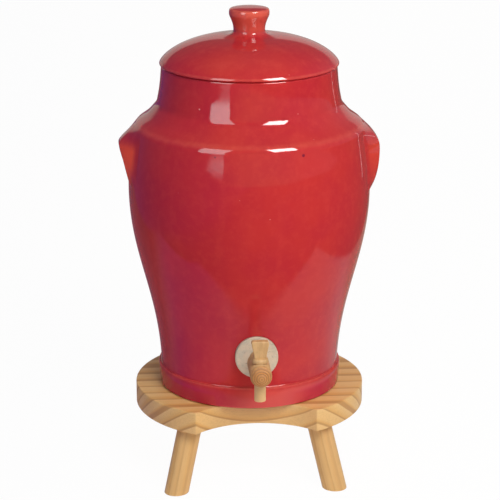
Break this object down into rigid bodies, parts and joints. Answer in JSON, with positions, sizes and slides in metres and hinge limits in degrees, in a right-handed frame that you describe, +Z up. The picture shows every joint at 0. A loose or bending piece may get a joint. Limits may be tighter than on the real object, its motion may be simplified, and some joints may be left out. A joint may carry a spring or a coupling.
{
  "type": "vinegar crock",
  "caption": "Glazed stoneware vinegar crock with a domed lid, finger lugs and a wooden tap in a cork bung, on a three-legged pine stand hollowed at the front for a glass.",
  "frame": {"origin": "on the floor, under the middle of the whole object's box; the crock's upright axis is 13.5 mm behind it", "axes": "+Z up, -Y the way the tap points, X along the line through the two lugs"},
  "size_m": [0.2286, 0.2554, 0.4171],
  "materials": {
    "red_glaze": "glossy glaze",
    "cork": "bare cork",
    "tap_wood": "turned, bare",
    "pine": "satin varnish"
  },
  "bodies": {
    "stand": {"stand_board": "pine", "leg_front_left": "pine", "leg_front_right": "pine", "leg_back": "pine"},
    "crock": {"crock_body": "red_glaze", "tap_cork": "cork", "tap_barrel": "tap_wood"},
    "lid": {"lid": "red_glaze"},
    "key": {"tap_key": "tap_wood"}
  },
  "joints": [
    {"name": "crock_lift", "type": "slide", "parent": "stand", "child": "crock", "axis": [0, 0, 1], "range_m": [0, 0.12]},
    {"name": "lid_lift", "type": "slide", "parent": "crock", "child": "lid", "axis": [0, 0, 1], "range_m": [0, 0.1]},
    {"name": "tap_key_turn", "type": "hinge", "parent": "crock", "child": "key", "pos_m": [0, -0.10866, 0.1271], "axis": [0, 0, 1], "continuous": true}
  ]
}
